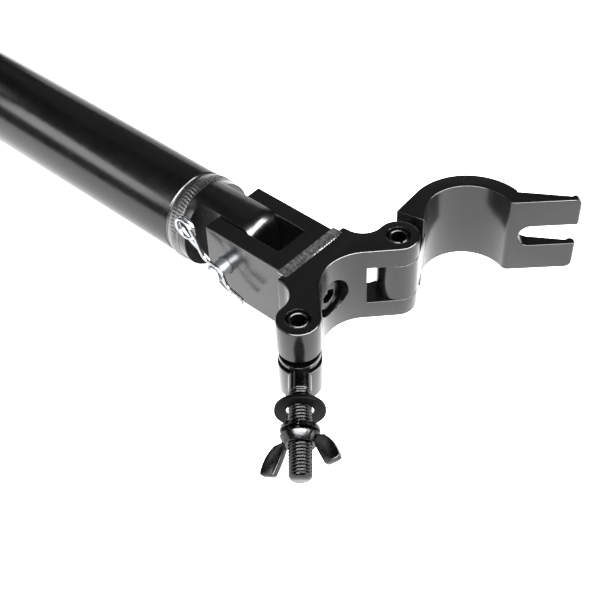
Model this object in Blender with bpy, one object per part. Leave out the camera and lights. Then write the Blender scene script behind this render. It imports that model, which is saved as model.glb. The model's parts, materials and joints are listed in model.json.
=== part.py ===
"""A pinned tube arm with a half-coupler head, for hanging or rigging studio and stage gear.

Lengths are in metres.  +X runs from the capped end of the tube to the pipe clamp, +Y is the
clevis pin's axis and +Z is up.  The origin is the centre of the end cap's outer face.
Pieces of the head are placed from the clevis pin, and the clamp's jaw and bolt from their hinges.
"""
from math import acos, asin, atan2, cos, degrees, pi, radians, sin, sqrt

import bmesh
import bpy
from mathutils import Matrix, Vector

# ---- driving dimensions -------------------------------------------------------------------
GAP = 0.0003                # left between touching pieces

TUBE_RADIUS = 0.025         # a 50 mm tube
TUBE_WALL = 0.003
PIN_X = 0.300               # clevis pin axis, from the capped end
TUBE_END_X = 0.257          # where the tube is welded to its tongue plug
CAP_FLANGE = 0.003
CAP_SPIGOT = 0.015
CAP_WALL = 0.0025

PLUG_SPIGOT = 0.020         # length inside the tube
TUBE_CHAMFER = 0.0006       # on the tube's welded end
PREP_RADIUS = 0.0222        # the plug's weld cone where it meets the tube
PREP_END_X = 0.2670         # where that cone reaches the tube's diameter
WELD_START_X = 0.2575       # the bead's edge beside the tube
WELD_END_X = 0.2675         # and on the plug
WELD_TOE = 0.0242           # the bead's radius at its tube side
WELD_CROWN = 0.0258         # and at its middle
SHOULDER = 0.0274           # from the pin back to the plug's shoulder
TONGUE_HALF = 0.0103        # half the tongue's thickness
NOSE = 0.0118               # from the pin to the tongue's flat nose
NOSE_RADIUS = 0.009         # rounding of the nose's edge

BLOCK_HALF = 0.021          # the clevis block is 42 mm square
BLOCK_FRONT = 0.013         # ears reach this far back past the pin
BLOCK_ROUND = 0.016         # rounded lower corner of each ear
SLOT_END = 0.0307           # bottom of the clevis slot, from the pin
SLOT_HALF = TONGUE_HALF + GAP
BLOCK_CHAMFER = 0.0025      # weld chamfer round the block's welded end
SADDLE_BACK = 0.044         # saddle's back face, from the pin
WELD_LEG = 0.0015           # weld leg along the saddle's back at the sides
WELD_LEG_LOW = 0.004        # and under the block, where the saddle stands proud

PIN_RADIUS = 0.005
PIN_BORE = PIN_RADIUS + GAP
PIN_HEAD_RADIUS = 0.008
PIN_HEAD = 0.003
PIN_TIP = 0.032             # pin's end, from the middle of the block
CLIP_Y = 0.0275             # cross hole, from the middle of the block
CLIP_HOLE = 0.0014
CLIP_WIRE = 0.001           # wire radius
CLIP_COIL = 0.0063          # mean coil radius
CLIP_PITCH = 0.0022         # one coil turn beside the next
CLIP_TILT = -42.6           # degrees, direction of the leg through the pin

CLAMP_Z = -0.004            # middle of the clamp, which is 50 mm wide
CLAMP_HALF = 0.025
PIPE_RADIUS = 0.025
PIPE_X = 0.0833             # pipe centre, from the pin
HINGE_X = 0.0710            # both clamp hinges, from the pin
HINGE_Y = 0.040
BOSS_RADIUS = 0.0116
BACK_HALF = 0.0265          # half the width of the saddle's back face
BACK_CORNER = 0.0015
FLANK_SLOPE = 3.0           # degrees, the saddle's flank against X
FLANK_FILLET = 0.012
SADDLE_CHAMFER = 0.0015     # weld chamfer on the saddle's upper back edge
TOP_WELD_HALF = 0.0224      # half the length of the weld over the block
FORK_DEPTH = 0.0177         # from a hinge back to the root of its fork slot
KNUCKLE_HALF = 0.0125       # half the jaw knuckle's height
BOLT_FORK_HALF = 0.0048     # half the height of the fork slot that takes the bolt
EYE_HALF = 0.0020           # half the bolt eye's height, thin enough to rock in that slot
EYE_RADIUS = 0.0110
EYE_BORE = 0.0069
ROLL_PIN_RADIUS = 0.006
ROLL_PIN_BORE = 0.004
ROLL_PIN_SLOT = 0.0018
ROLL_PIN_RECESS = 0.0008    # below the clamp's top and bottom faces

SCREW_FACE = 0.0560         # screw head's outer face, from the pin
SCREW_HEAD = 0.007
SCREW_HEAD_RADIUS = 0.009
SCREW_RADIUS = 0.006
SCREW_LENGTH = 0.016
SCREW_HEX = 0.008           # across the socket's flats
SCREW_SOCKET = 0.004
COUNTERBORE = 0.011         # radius
SCREW_BORE = SCREW_RADIUS + GAP

JAW_OPEN = 133.9            # degrees the jaw stands open
JAW_OUTER = 0.0347          # outer radius, about the pipe
JAW_STEP = 0.0168           # from the hinge to the full-width part
TINE_FACE = 0.0208          # tines' inner face, in X from the hinge
TINE_FILLET = 0.004         # between the pipe seat and that face
JAW_OUTER_END = (0.0321, -0.0682)
TINE_BACK = [(0.0317, -0.0686), (0.0305, -0.0686), (0.0246, -0.0975), (0.0256, -0.0992),
             (0.0259, -0.1007), (0.0245, -0.1024)]
TINE_END_Y = -0.1029
TINE_CORNER = 0.005
JAW_SLOT_HALF = 0.007
JAW_SLOT_END = -0.0765      # centre of the slot's round end, in Y from the hinge

BOLT_OUT = -48.4            # degrees the bolt stands from its closed line
BOLT_DROOP = 12.0           # degrees it hangs down, in its fork's play
BOLT_RADIUS = 0.00585       # M12 thread, drawn plain
BOLT_TIP = 0.0701
BOLT_NECK = 0.0136          # where the round shank starts, clear of the fork
TANG_HALF = 0.0052          # half the flat tang's width, between eye and shank
WASHER_RADIUS = 0.013
WASHER_HOLE = 0.0071
WASHER_THICK = 0.0025
WASHER_AT = 0.0329
WASHER_LEAN = 7.0           # degrees it leans back on the shank
WASHER_SAG = 0.0006         # it hangs this far below the shank's middle
SPRING_RADIUS = 0.0101
SPRING_HOLE = 0.0062
SPRING_THICK = 0.0024
SPRING_AT = 0.0424
SPRING_RISE = 0.0010
NUT_AT = 0.0470
NUT_BASE_RADIUS = 0.0102
NUT_TOP_RADIUS = 0.0080
NUT_HEIGHT = 0.0055
NUT_BORE = 0.00615
NUT_TURN = 27.0             # degrees, wings about the bolt
WING_HALF = 0.002           # half the wings' thickness

FINE = 64                   # sides of the tube
ROUND = 40                  # sides of smaller round pieces
COARSE = 24

AXES = {"X": Matrix.Identity(4),
        "Y": Matrix.Rotation(pi / 2, 4, "Z"),
        "Z": Matrix.Rotation(-pi / 2, 4, "Y")}


# ---- tools --------------------------------------------------------------------------------
def clear_scene():
    for thing in list(bpy.data.objects):
        bpy.data.objects.remove(thing, do_unlink=True)


def finish(name, colour, roughness, metallic):
    """A plain Principled material."""
    mat = bpy.data.materials.new(name)
    mat.use_nodes = True
    shader = mat.node_tree.nodes["Principled BSDF"]
    shader.inputs["Base Color"].default_value = (*colour, 1.0)
    shader.inputs["Roughness"].default_value = roughness
    shader.inputs["Metallic"].default_value = metallic
    return mat


def pivot(name, location, parent=None, turn=(0.0, 0.0, 0.0)):
    """An empty on a joint's axis, which carries what turns about it."""
    empty = bpy.data.objects.new(name, None)
    bpy.context.scene.collection.objects.link(empty)
    empty.location = location
    empty.rotation_euler = turn
    empty.parent = parent
    return empty


def piece(name, shape, mat, parent=None):
    """A mesh object from a bmesh."""
    bmesh.ops.recalc_face_normals(shape, faces=shape.faces[:])
    mesh = bpy.data.meshes.new(name)
    shape.to_mesh(mesh)
    shape.free()
    mesh.materials.append(mat)
    thing = bpy.data.objects.new(name, mesh)
    bpy.context.scene.collection.objects.link(thing)
    thing.parent = parent
    mesh.shade_smooth()
    mesh.set_sharp_from_angle(angle=radians(30))
    return thing


def combine(thing, tool_shape, operation="DIFFERENCE"):
    """Cut a shape from a piece, or join it on, with a Boolean."""
    tool = piece(f"{thing.name}_tool", tool_shape, thing.data.materials[0], thing.parent)
    tool.display_type = "WIRE"
    tool.hide_render = True
    step = thing.modifiers.new("shape", "BOOLEAN")
    step.operation = operation
    step.object = tool
    step.solver = "EXACT"


def arc(centre, radius, start, end, steps):
    """Points along an arc, both ends included; angles in degrees."""
    angles = [radians(start + (end - start) * i / steps) for i in range(steps + 1)]
    return [(centre[0] + radius * cos(a), centre[1] + radius * sin(a)) for a in angles]


def prism(outline, low, high, axis="Z"):
    """Extrude an outline along Z, or along Y (outline in X and Z), or along X (in Y and Z)."""
    place = {"Z": lambda a, b: (a, b, low), "Y": lambda a, b: (a, low, b), "X": lambda a, b: (low, a, b)}
    shape = bmesh.new()
    face = shape.faces.new([shape.verts.new(place[axis](a, b)) for a, b in outline])
    grown = bmesh.ops.extrude_face_region(shape, geom=[face])
    moved = [v for v in grown["geom"] if isinstance(v, bmesh.types.BMVert)]
    step = Vector([high - low if letter == axis else 0.0 for letter in "XYZ"])
    bmesh.ops.translate(shape, verts=moved, vec=step)
    return shape


def turned(profile, steps, axis="X", closed=False, at=(0.0, 0.0, 0.0)):
    """Spin a profile of (along, radius) points; an open one runs from the axis to the axis."""
    shape = bmesh.new()
    verts = [shape.verts.new((along, 0.0, radius)) for along, radius in profile]
    pairs = list(zip(verts, verts[1:]))
    if closed:
        pairs.append((verts[-1], verts[0]))
    edges = [shape.edges.new(pair) for pair in pairs]
    bmesh.ops.spin(shape, geom=verts + edges, angle=2 * pi, steps=steps, axis=(1, 0, 0), cent=(0, 0, 0))
    bmesh.ops.remove_doubles(shape, verts=shape.verts[:], dist=1e-6)
    bmesh.ops.dissolve_degenerate(shape, edges=shape.edges[:], dist=1e-7)
    shape.transform(Matrix.Translation(at) @ AXES[axis])
    return shape


def rod(radius, low, high, steps, axis="X", at=(0.0, 0.0, 0.0)):
    return turned([(low, 0.0), (low, radius), (high, radius), (high, 0.0)], steps, axis, at=at)


def box(low, high):
    return prism([(low[0], low[1]), (high[0], low[1]), (high[0], high[1]), (low[0], high[1])],
                 low[2], high[2])


def mirrored(points):
    """The same outline on the other side of X, in reverse order."""
    return [(x, -y) for x, y in reversed(points)]


# ---- the arm ------------------------------------------------------------------------------
def arm_tube(mat):
    start = CAP_FLANGE + GAP
    end = TUBE_END_X - GAP / 2
    inner = TUBE_RADIUS - TUBE_WALL
    profile = [(start, inner), (start, TUBE_RADIUS), (end - TUBE_CHAMFER, TUBE_RADIUS),
               (end, TUBE_RADIUS - TUBE_CHAMFER), (end, inner)]
    return piece("arm_tube", turned(profile, FINE, closed=True), mat)


def tube_end_cap(mat):
    edge = 0.0012
    spigot = TUBE_RADIUS - TUBE_WALL - GAP
    hollow = spigot - CAP_WALL
    depth = CAP_FLANGE + CAP_SPIGOT
    rim = arc((edge, TUBE_RADIUS - edge), edge, 180, 90, 4)
    profile = [(0.0, 0.0), *rim, (CAP_FLANGE, TUBE_RADIUS), (CAP_FLANGE, spigot), (depth, spigot),
               (depth, hollow), (CAP_FLANGE, hollow), (CAP_FLANGE, 0.0)]
    return piece("tube_end_cap", turned(profile, ROUND), mat)


def tongue_plug(mat):
    """A turned plug, milled to a tongue with a rounded nose and bored for the pin."""
    joint = TUBE_END_X + GAP / 2
    spigot = TUBE_RADIUS - TUBE_WALL - GAP
    nose = PIN_X + NOSE
    shoulder = PIN_X - SHOULDER
    far = TUBE_RADIUS + 0.002
    rim = arc((nose - NOSE_RADIUS, TUBE_RADIUS - NOSE_RADIUS), NOSE_RADIUS, 90, 0, 10)
    profile = [(TUBE_END_X - PLUG_SPIGOT, 0.0), (TUBE_END_X - PLUG_SPIGOT, spigot), (joint, spigot),
               (joint, PREP_RADIUS), (PREP_END_X, TUBE_RADIUS), *rim, (nose, 0.0)]
    plug = piece("tongue_plug", turned(profile, FINE), mat)
    for side in (-1, 1):
        low, high = sorted((side * TONGUE_HALF, side * far))
        combine(plug, box((shoulder, low, -far), (nose + 0.002, high, far)))
    combine(plug, rod(PIN_BORE, -far, far, ROUND, "Y", (PIN_X, 0.0, 0.0)))
    return plug


def tube_weld(mat):
    """The bead that fills the plug's weld cone, beside the tube's end."""
    joint = TUBE_END_X + GAP / 2
    slope = (TUBE_RADIUS - PREP_RADIUS) / (PREP_END_X - joint)
    lift = GAP * sqrt(1 + slope ** 2)
    bed = PREP_RADIUS + slope * (WELD_START_X - joint) + lift
    far_toe = TUBE_RADIUS + GAP + 0.0001
    bulge = WELD_CROWN - (WELD_TOE + far_toe) / 2
    steps = 8
    top = []
    for i in range(steps + 1):
        share = i / steps
        level = WELD_TOE + (far_toe - WELD_TOE) * share + 4 * bulge * share * (1 - share)
        top.append((WELD_START_X + (WELD_END_X - WELD_START_X) * share, level))
    profile = [*top, (WELD_END_X, TUBE_RADIUS + GAP), (PREP_END_X, TUBE_RADIUS + lift), (WELD_START_X, bed)]
    return piece("tube_weld", turned(profile, FINE, closed=True), mat)


# ---- the clevis ---------------------------------------------------------------------------
def clevis_block(mat, head):
    """A square block, slotted for the tongue, with its lower corners rounded."""
    end = SADDLE_BACK - GAP
    centre = (BLOCK_ROUND - BLOCK_FRONT, BLOCK_ROUND - BLOCK_HALF)
    outline = [*arc(centre, BLOCK_ROUND, 180, 270, 12), (end, -BLOCK_HALF), (end, BLOCK_HALF),
               (-BLOCK_FRONT, BLOCK_HALF)]
    shape = prism(outline, -BLOCK_HALF, BLOCK_HALF, "Y")
    welded = [e for e in shape.edges if all(abs(v.co.x - end) < 1e-6 for v in e.verts)]
    bmesh.ops.bevel(shape, geom=welded, offset=BLOCK_CHAMFER, segments=1, affect="EDGES")
    block = piece("clevis_block", shape, mat, head)
    far = BLOCK_HALF + 0.002
    combine(block, box((-BLOCK_FRONT - 0.002, -SLOT_HALF, -far), (SLOT_END, SLOT_HALF, far)))
    combine(block, rod(PIN_BORE, -far, far, ROUND, "Y"))
    bore_end = SCREW_FACE - SCREW_HEAD - SCREW_LENGTH - GAP
    combine(block, rod(SCREW_BORE, bore_end, SADDLE_BACK + 0.002, ROUND, at=(0.0, 0.0, CLAMP_Z)))
    return block


def block_weld(name, mat, head, side, leg, along, reach):
    """One weld run on an edge of the block: side turns it about X, reach is half its length."""
    start = SADDLE_BACK - GAP - BLOCK_CHAMFER
    wall = SADDLE_BACK - GAP
    slant = GAP * (sqrt(2) - 1)
    section = [(start - 0.0006, GAP), (start + slant, GAP), (wall, slant + GAP - BLOCK_CHAMFER)]
    if along:
        shelf = SADDLE_BACK + SADDLE_CHAMFER
        section += [(wall, slant - SADDLE_CHAMFER), (shelf - slant, GAP), (shelf + 0.0018, GAP),
                    (shelf + 0.0002, 0.0010), (wall - 0.0002, 0.0013), (start + 0.0008, 0.0010)]
    else:
        section += [(wall, leg), (wall - 0.0008, leg), (start + 0.0004, 0.0009)]
    shape = prism([(x, out + BLOCK_HALF) for x, out in section], -reach, reach, "Y")
    shape.transform(Matrix.Rotation(radians(side), 4, "X"))
    return piece(name, shape, mat, head)


def clevis_pin(mat, head):
    """A headed pin, chamfered at its end and drilled across for its clip."""
    face = BLOCK_HALF + GAP
    chamfer = 0.001
    edge = 0.0008
    outer = face + PIN_HEAD
    profile = [(-PIN_TIP, 0.0), (-PIN_TIP, PIN_RADIUS - chamfer), (-PIN_TIP + chamfer, PIN_RADIUS),
               (face, PIN_RADIUS), (face, PIN_HEAD_RADIUS), (outer - edge, PIN_HEAD_RADIUS),
               (outer, PIN_HEAD_RADIUS - edge), (outer, 0.0)]
    pin = piece("clevis_pin", turned(profile, ROUND, "Y"), mat, head)
    hole = rod(CLIP_HOLE, -2 * PIN_RADIUS, 2 * PIN_RADIUS, 16)
    hole.transform(Matrix.Translation((0.0, -CLIP_Y, 0.0)) @ Matrix.Rotation(-radians(CLIP_TILT), 4, "Y"))
    combine(pin, hole)
    return pin


def clip_route():
    """The clip's wire: a leg through the pin, two coils, and a waved leg round the pin."""
    leg = (cos(radians(CLIP_TILT)), sin(radians(CLIP_TILT)))
    coil = (-0.0195, 0.0215)
    first, last = 227.8, 19.3 - 360
    straight = [(0.0178, -0.0134), (0.0140, -0.0117)]
    straight += [(leg[0] * s, leg[1] * s) for s in (0.0125, 0.006, -0.006, -0.0105)]
    straight += [(-0.0118, 0.0091), (-0.0150, 0.0103), (-0.0185, 0.0122)]
    turns = arc(coil, CLIP_COIL, first, last, 36)
    waved = [(-0.0112, 0.0190), (-0.0086, 0.0121), (-0.0065, 0.0082), (-0.0030, 0.0068),
             (0.0010, 0.0064), (0.0044, 0.0050), (0.0070, 0.0020), (0.0085, -0.0020),
             (0.0105, -0.0043), (0.0140, -0.0052), (0.0206, -0.0071)]
    drift = CLIP_PITCH * (first - last) / 360
    route = [(x, -CLIP_Y, z) for x, z in straight]
    route += [(x, -CLIP_Y - drift * i / 36, z) for i, (x, z) in enumerate(turns)]
    settle = drift - CLIP_PITCH
    for i, (x, z) in enumerate(waved):
        route.append((x, -CLIP_Y - drift + settle * min(1.0, (i + 1) / 4), z))
    return route


def r_clip(mat, head):
    line = bpy.data.curves.new("r_clip", "CURVE")
    line.dimensions = "3D"
    line.bevel_depth = CLIP_WIRE
    line.bevel_resolution = 2
    line.use_fill_caps = True
    route = clip_route()
    spline = line.splines.new("POLY")
    spline.points.add(len(route) - 1)
    for point, place in zip(spline.points, route):
        point.co = (*place, 1.0)
    line.materials.append(mat)
    clip = bpy.data.objects.new("r_clip", line)
    bpy.context.scene.collection.objects.link(clip)
    clip.parent = head
    return clip


# ---- the clamp ----------------------------------------------------------------------------
def flank():
    """The saddle's -Y flank, from its back corner to the front of the boss."""
    slope = radians(-FLANK_SLOPE)
    along = Vector((cos(slope), sin(slope)))
    outward = Vector((along.y, -along.x))
    corner_centre = Vector((SADDLE_BACK + BACK_CORNER, BACK_CORNER - BACK_HALF))
    start = corner_centre + outward * BACK_CORNER
    hinge = Vector((HINGE_X, -HINGE_Y))
    offset = start - hinge + outward * FLANK_FILLET
    reach = offset.dot(along)
    run = -reach - sqrt(reach ** 2 - offset.length_squared + (BOSS_RADIUS + FLANK_FILLET) ** 2)
    fillet = start + along * run + outward * FLANK_FILLET
    to_hinge = hinge - fillet
    leave = degrees(atan2(-outward.y, -outward.x))
    meet = degrees(atan2(to_hinge.y, to_hinge.x))
    points = arc(corner_centre, BACK_CORNER, 180, 270 - FLANK_SLOPE, 4)
    points += arc(fillet, FLANK_FILLET, leave, meet, 6)
    points += arc(hinge, BOSS_RADIUS, meet - 180, 45, 28)[1:]
    return points


def saddle_outline():
    lower = flank()
    seat = arc((PIPE_X, 0.0), PIPE_RADIUS, 225, 135, 20)
    return lower + seat + mirrored(lower)


def fork_cut(side, half_height):
    """What the fork slot at one hinge takes away: all that lies beyond its root."""
    lean = radians(45 * side)
    root = -FORK_DEPTH
    far = 0.030
    shape = box((root, -far, CLAMP_Z - half_height), (far, far, CLAMP_Z + half_height))
    shape.transform(Matrix.Translation((HINGE_X, side * HINGE_Y, 0.0)) @ Matrix.Rotation(lean, 4, "Z"))
    return shape


def saddle(mat, head):
    """The clamp's fixed half: a pipe seat between two forked hinge bosses."""
    shape = prism(saddle_outline(), CLAMP_Z - CLAMP_HALF, CLAMP_Z + CLAMP_HALF)
    body = piece("saddle", shape, mat, head)
    top = CLAMP_Z + CLAMP_HALF
    chamfer = [(SADDLE_BACK - 0.001, top - SADDLE_CHAMFER - 0.001),
               (SADDLE_BACK + SADDLE_CHAMFER + 0.001, top + 0.001), (SADDLE_BACK - 0.001, top + 0.001)]
    combine(body, prism(chamfer, -TOP_WELD_HALF - GAP, TOP_WELD_HALF + GAP, "Y"))
    combine(body, fork_cut(1, KNUCKLE_HALF + GAP))
    combine(body, fork_cut(-1, BOLT_FORK_HALF))
    for side in (-1, 1):
        at = (HINGE_X, side * HINGE_Y, CLAMP_Z)
        combine(body, rod(ROLL_PIN_RADIUS + GAP, -0.030, 0.030, ROUND, "Z", at))
    at = (0.0, 0.0, CLAMP_Z)
    seat_floor = SCREW_FACE - SCREW_HEAD - GAP
    combine(body, rod(COUNTERBORE, seat_floor, PIPE_X, ROUND, at=at))
    combine(body, rod(SCREW_BORE, SADDLE_BACK - 0.002, seat_floor + 0.002, ROUND, at=at))
    return body


def saddle_screw(mat, head):
    """A low-headed socket screw from the pipe seat into the block."""
    under = SCREW_FACE - SCREW_HEAD
    tip = under - SCREW_LENGTH
    edge = 0.0008
    profile = [(tip, 0.0), (tip, SCREW_RADIUS - edge), (tip + edge, SCREW_RADIUS), (under, SCREW_RADIUS),
               (under, SCREW_HEAD_RADIUS), (SCREW_FACE - edge, SCREW_HEAD_RADIUS),
               (SCREW_FACE, SCREW_HEAD_RADIUS - edge), (SCREW_FACE, 0.0)]
    screw = piece("saddle_screw", turned(profile, ROUND, at=(0.0, 0.0, CLAMP_Z)), mat, head)
    corner = SCREW_HEX / 2 / cos(pi / 6)
    socket = rod(corner, SCREW_FACE - SCREW_SOCKET, SCREW_FACE + 0.002, 6, at=(0.0, 0.0, CLAMP_Z))
    combine(screw, socket)
    return screw


def roll_pin(name, mat, head, side, slot_at):
    """A slotted spring pin through one fork; slot_at is its slot's direction in degrees."""
    half = asin(ROLL_PIN_SLOT / 2 / ROLL_PIN_RADIUS)
    open_at = radians(slot_at)
    steps = 36
    angles = [open_at + half + (2 * pi - 2 * half) * i / steps for i in range(steps + 1)]
    outer = [(ROLL_PIN_RADIUS * cos(a), ROLL_PIN_RADIUS * sin(a)) for a in angles]
    inner = [(ROLL_PIN_BORE * cos(a), ROLL_PIN_BORE * sin(a)) for a in reversed(angles)]
    reach = CLAMP_HALF - ROLL_PIN_RECESS
    shape = prism(outer + inner, -reach, reach)
    shape.transform(Matrix.Translation((HINGE_X, side * HINGE_Y, CLAMP_Z)))
    return piece(name, shape, mat, head)


def tangent_normal():
    """The unit normal of the line that touches both the knuckle and the jaw's outer arc."""
    to_pipe = Vector((PIPE_X - HINGE_X, -HINGE_Y))
    turn = acos((BOSS_RADIUS - JAW_OUTER) / to_pipe.length)
    angle = atan2(to_pipe.y, to_pipe.x) + turn
    return Vector((cos(angle), sin(angle)))


def jaw(mat, hinge):
    """The hinged half of the clamp, in its closed place; its pivot opens it."""
    pipe = Vector((PIPE_X - HINGE_X, -HINGE_Y))
    normal = tangent_normal()
    tangent = degrees(atan2(normal.y, normal.x))
    reach = Vector((cos(radians(-31.2)), sin(radians(-31.2))))
    across = Vector((-reach.y, reach.x))
    step = reach * JAW_STEP
    # the step's outer end lies on the tangent line, its inner end on the pipe's circle
    outer = step + across * ((BOSS_RADIUS - step.dot(normal)) / across.dot(normal))
    back = (step - pipe).dot(across)
    inner = step - across * (back - sqrt(back ** 2 - (step - pipe).length_squared + PIPE_RADIUS ** 2))
    inner_angle = degrees(atan2(inner.y - pipe.y, inner.x - pipe.x))
    root_angle = degrees(atan2(JAW_OUTER_END[1] - pipe.y, JAW_OUTER_END[0] - pipe.x))
    # the fillet touches the tines' inner face and, from outside, the pipe's circle
    lead = TINE_FACE + TINE_FILLET - pipe.x
    drop = sqrt((PIPE_RADIUS + TINE_FILLET) ** 2 - lead ** 2)
    face_angle = -degrees(atan2(drop, lead))
    fillet = arc((pipe.x + lead, pipe.y - drop), TINE_FILLET, 180, 180 + face_angle, 6)
    body = [tuple(outer), *arc(pipe, JAW_OUTER, tangent, root_angle, 18), *TINE_BACK,
            (TINE_FACE + 0.0012, TINE_END_Y), (TINE_FACE, TINE_END_Y + 0.0012), *fillet,
            *arc(pipe, PIPE_RADIUS, face_angle, inner_angle, 26)[1:]]
    shape = prism(body, -CLAMP_HALF, CLAMP_HALF)
    lifted = piece("jaw", shape, mat, hinge)
    knuckle = [*arc((0.0, 0.0), BOSS_RADIUS, tangent, 255.5, 24), tuple(inner),
               tuple(inner + reach * 0.003), tuple(outer + reach * 0.003)]
    combine(lifted, prism(knuckle, -KNUCKLE_HALF, KNUCKLE_HALF), "UNION")
    combine(lifted, rod(ROLL_PIN_RADIUS + GAP, -0.030, 0.030, ROUND, "Z"))
    slot_start = JAW_SLOT_END
    slot = arc((slot_start, 0.0), JAW_SLOT_HALF, 90, -90, 14)
    slot += [(TINE_END_Y - 0.002, -JAW_SLOT_HALF), (TINE_END_Y - 0.002, JAW_SLOT_HALF)]
    combine(lifted, prism(slot, TINE_FACE - 0.004, JAW_OUTER_END[0] + 0.004, "X"))
    for side in (-1, 1):
        edge = side * CLAMP_HALF
        centre = (TINE_END_Y + TINE_CORNER, edge - side * TINE_CORNER)
        corner = arc(centre, TINE_CORNER, 90 * side, 180 * side, 6)
        corner += [(TINE_END_Y - 0.002, centre[1]), (TINE_END_Y - 0.002, edge + side * 0.002),
                   (centre[0], edge + side * 0.002)]
        combine(lifted, prism(corner, TINE_FACE - 0.004, JAW_OUTER_END[0] + 0.004, "X"))
    return lifted


# ---- the swing bolt -----------------------------------------------------------------------
def swing_bolt(mat, hinge):
    """An eye bolt along +X from its hinge, with a flat eye and tang that can rock in the fork."""
    chamfer = 0.0012
    eye = piece("swing_bolt", rod(EYE_RADIUS, -EYE_HALF, EYE_HALF, ROUND, "Z"), mat, hinge)
    combine(eye, box((EYE_BORE + 0.001, -TANG_HALF, -EYE_HALF), (BOLT_NECK + 0.001, TANG_HALF, EYE_HALF)),
            "UNION")
    profile = [(BOLT_NECK, 0.0), (BOLT_NECK, BOLT_RADIUS), (BOLT_TIP - chamfer, BOLT_RADIUS),
               (BOLT_TIP, BOLT_RADIUS - chamfer), (BOLT_TIP, 0.0)]
    combine(eye, turned(profile, COARSE), "UNION")
    combine(eye, rod(EYE_BORE, -0.010, 0.010, ROUND, "Z"))
    return eye


def flat_washer(mat, hinge):
    half = WASHER_THICK / 2
    edge = 0.0004
    profile = [(-half, WASHER_HOLE), (-half, WASHER_RADIUS - edge), (edge - half, WASHER_RADIUS),
               (half - edge, WASHER_RADIUS), (half, WASHER_RADIUS - edge), (half, WASHER_HOLE)]
    shape = turned(profile, ROUND, closed=True)
    lean = Matrix.Rotation(-radians(WASHER_LEAN), 4, "Y")
    shape.transform(Matrix.Translation((WASHER_AT, 0.0, -WASHER_SAG)) @ lean)
    return piece("flat_washer", shape, mat, hinge)


def spring_washer(mat, hinge):
    """One split turn of square wire, slightly sprung apart."""
    shape = bmesh.new()
    steps = 36
    cut = radians(8)
    start = radians(100)
    rings = []
    for i in range(steps + 1):
        share = i / steps
        angle = start + (2 * pi - cut) * share
        low = SPRING_AT + SPRING_RISE * share
        section = [(low, SPRING_HOLE), (low, SPRING_RADIUS), (low + SPRING_THICK, SPRING_RADIUS),
                   (low + SPRING_THICK, SPRING_HOLE)]
        rings.append([shape.verts.new((x, r * cos(angle), r * sin(angle))) for x, r in section])
    for ring, following in zip(rings, rings[1:]):
        for k in range(4):
            shape.faces.new((ring[k], ring[(k + 1) % 4], following[(k + 1) % 4], following[k]))
    shape.faces.new(rings[0])
    shape.faces.new(rings[-1])
    return piece("spring_washer", shape, mat, hinge)


def wing_outline():
    """One wing, as (along the bolt, out from it), starting inside the hub."""
    outer = [(0.0492, 0.0100), (0.0500, 0.0140), (0.0524, 0.0167), (0.0551, 0.0188),
             (0.0584, 0.0205), (0.0616, 0.0216)]
    tip = [(0.0631, 0.0218), (0.0643, 0.0206), (0.0655, 0.0154), (0.0652, 0.0138)]
    inner = [(0.0602, 0.0113), (0.0561, 0.0094), (0.0520, 0.0080)]
    return [(0.0484, 0.0075), *outer, *tip, *inner]


def wing_nut(mat, hinge):
    """A conical hub with two wings that rise past the bolt's end."""
    top = NUT_AT + NUT_HEIGHT
    profile = [(NUT_AT, 0.0), (NUT_AT, NUT_BASE_RADIUS), (NUT_AT + 0.0010, NUT_BASE_RADIUS),
               (top, NUT_TOP_RADIUS), (top, 0.0)]
    nut = piece("wing_nut", turned(profile, ROUND), mat, hinge)
    for side in (-1, 1):
        wing = prism([(x, side * y) for x, y in wing_outline()], -WING_HALF, WING_HALF)
        wing.transform(Matrix.Rotation(radians(NUT_TURN), 4, "X"))
        combine(nut, wing, "UNION")
    combine(nut, rod(NUT_BORE, NUT_AT - 0.002, BOLT_TIP + 0.004, ROUND))
    return nut


# ---- the whole ----------------------------------------------------------------------------
def build():
    clear_scene()
    black = finish("black_coat", (0.02, 0.02, 0.021), 0.42, 0.0)
    weld = finish("weld_coat", (0.03, 0.03, 0.031), 0.36, 0.0)
    gloss = finish("black_hardware", (0.015, 0.015, 0.016), 0.25, 0.6)
    zinc = finish("bright_zinc", (0.75, 0.77, 0.8), 0.2, 1.0)
    plastic = finish("cap_plastic", (0.03, 0.03, 0.03), 0.5, 0.0)

    arm_tube(black)
    tube_end_cap(plastic)
    tongue_plug(black)
    tube_weld(weld)

    head = pivot("head_pivot", (PIN_X, 0.0, 0.0))
    clevis_block(black, head)
    under = BLOCK_HALF + WELD_LEG / 2
    short = BLOCK_HALF - BLOCK_CHAMFER - GAP
    block_weld("block_weld_top", weld, head, 0, 0.0, True, TOP_WELD_HALF)
    block_weld("block_weld_bottom", weld, head, 180, WELD_LEG_LOW, False, under)
    block_weld("block_weld_left", weld, head, 270, WELD_LEG, False, short)
    block_weld("block_weld_right", weld, head, 90, WELD_LEG, False, short)
    clevis_pin(zinc, head)
    r_clip(zinc, head)
    saddle(black, head)
    saddle_screw(gloss, head)
    roll_pin("jaw_hinge_pin", gloss, head, 1, -33)
    roll_pin("bolt_hinge_pin", gloss, head, -1, 42)

    jaw_hinge = pivot("jaw_hinge", (HINGE_X, HINGE_Y, CLAMP_Z), head, (0.0, 0.0, radians(JAW_OPEN)))
    jaw(black, jaw_hinge)
    bolt_turn = (0.0, radians(BOLT_DROOP), radians(BOLT_OUT))
    bolt_hinge = pivot("bolt_hinge", (HINGE_X, -HINGE_Y, CLAMP_Z), head, bolt_turn)
    swing_bolt(gloss, bolt_hinge)
    flat_washer(gloss, bolt_hinge)
    spring_washer(gloss, bolt_hinge)
    wing_nut(gloss, bolt_hinge)
    bpy.context.view_layer.update()


build()
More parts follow.
